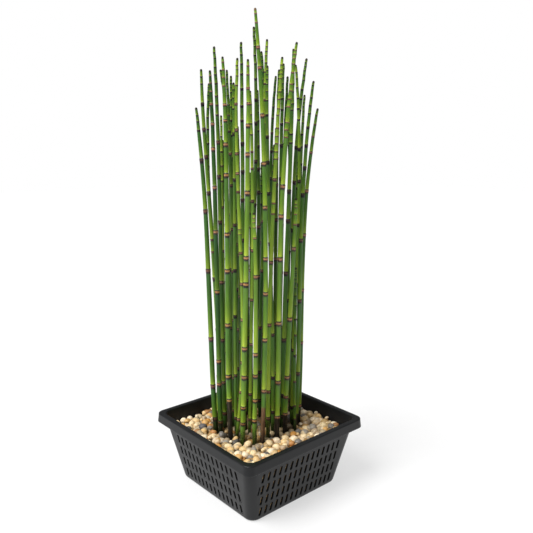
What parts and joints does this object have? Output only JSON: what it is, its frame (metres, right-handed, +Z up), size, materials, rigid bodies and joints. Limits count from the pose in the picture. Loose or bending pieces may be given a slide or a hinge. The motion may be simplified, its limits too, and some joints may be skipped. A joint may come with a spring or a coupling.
{
  "type": "potted water horsetail",
  "caption": "Upright clump of thin jointed green stems rising from pea gravel in a square slotted pond basket with a turned-down rim; stands on its flat base.",
  "frame": {"origin": "centre of the basket's underside", "axes": "+Z up along the stems; X and Y along the basket's sides; the picture looks at the corner between the -X and -Y sides"},
  "size_m": [0.1916, 0.1916, 0.571],
  "materials": {
    "basket_plastic": "charcoal injection-moulded plastic, satin, soft moulded edges",
    "planting_mix": "moist brown planting soil with grit",
    "pea_gravel": "rounded washed pea gravel in cream, tan, ochre and grey",
    "stem": "fresh green stem, finely ribbed, satin, dark and tan bands at the joints"
  },
  "bodies": {
    "root": {"basket": "basket_plastic", "planting_mix": "planting_mix", "gravel": "pea_gravel", "stem_01": "stem", "stem_02": "stem", "stem_03": "stem", "stem_04": "stem", "stem_05": "stem", "stem_06": "stem", "stem_07": "stem", "stem_08": "stem", "stem_09": "stem", "stem_10": "stem", "stem_11": "stem", "stem_12": "stem", "stem_13": "stem", "stem_14": "stem", "stem_15": "stem", "stem_16": "stem", "stem_17": "stem", "stem_18": "stem", "stem_19": "stem", "stem_20": "stem", "stem_21": "stem", "stem_22": "stem", "stem_23": "stem", "stem_24": "stem", "stem_25": "stem", "stem_26": "stem", "stem_27": "stem", "stem_28": "stem", "stem_29": "stem", "stem_30": "stem", "stem_31": "stem", "stem_32": "stem", "stem_33": "stem", "stem_34": "stem", "stem_35": "stem", "stem_36": "stem", "stem_37": "stem", "stem_38": "stem", "stem_39": "stem", "stem_40": "stem", "stem_41": "stem", "stem_42": "stem", "stem_43": "stem", "stem_44": "stem", "stem_45": "stem", "stem_46": "stem", "stem_47": "stem", "stem_48": "stem"}
  },
  "joints": []
}
